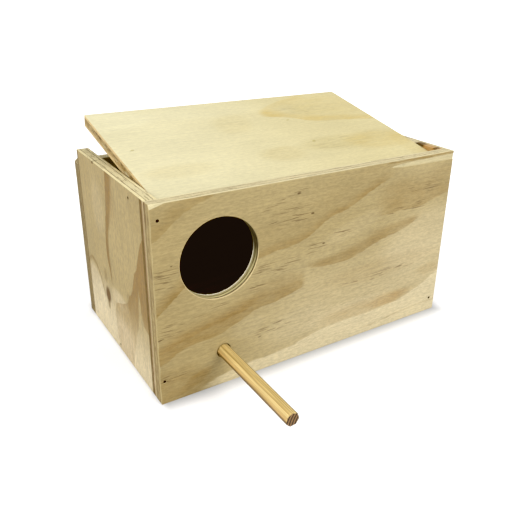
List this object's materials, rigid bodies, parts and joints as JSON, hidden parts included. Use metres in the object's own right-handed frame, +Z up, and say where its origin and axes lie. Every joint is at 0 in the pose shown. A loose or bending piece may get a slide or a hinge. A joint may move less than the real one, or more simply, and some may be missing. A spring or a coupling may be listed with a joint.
{
  "type": "lovebird nest box",
  "caption": "Nailed plywood nest box for small parrots: round entrance with a dowel perch below it, and a lid that turns on nails through the sides.",
  "frame": {"origin": "centre of the underside of the box, with the perch left out: the middle of the floor panel's lower face", "axes": "+Z up; -Y out of the front panel with the entrance and perch; +X to the right, seen from the front"},
  "size_m": [0.254, 0.2352, 0.1651],
  "materials": {
    "plywood": "bare sanded pine three-ply",
    "lid_plywood": "bare sanded pine three-ply, paler face",
    "dowel": "bare dowel",
    "nail_steel": "dull bare steel"
  },
  "bodies": {
    "box": {"front_panel": "plywood", "back_panel": "plywood", "left_side_panel": "plywood", "right_side_panel": "plywood", "floor_panel": "plywood", "perch": "dowel", "front_left_nail_top": "nail_steel", "front_left_nail_bottom": "nail_steel", "front_right_nail_bottom": "nail_steel", "back_left_nail_top": "nail_steel", "back_left_nail_bottom": "nail_steel", "back_right_nail_top": "nail_steel", "back_right_nail_bottom": "nail_steel", "floor_left_nail": "nail_steel", "floor_right_nail": "nail_steel", "floor_back_nail_left": "nail_steel", "floor_back_nail_right": "nail_steel"},
    "lid": {"lid_panel": "lid_plywood", "lid_pivot_nail_left": "nail_steel", "lid_pivot_nail_right": "nail_steel"}
  },
  "joints": [
    {"name": "lid_hinge", "type": "hinge", "parent": "box", "child": "lid", "pos_m": [0, -0.0408, 0.1355], "axis": [1, 0, 0], "range_deg": [-11.8, 141.2]}
  ]
}
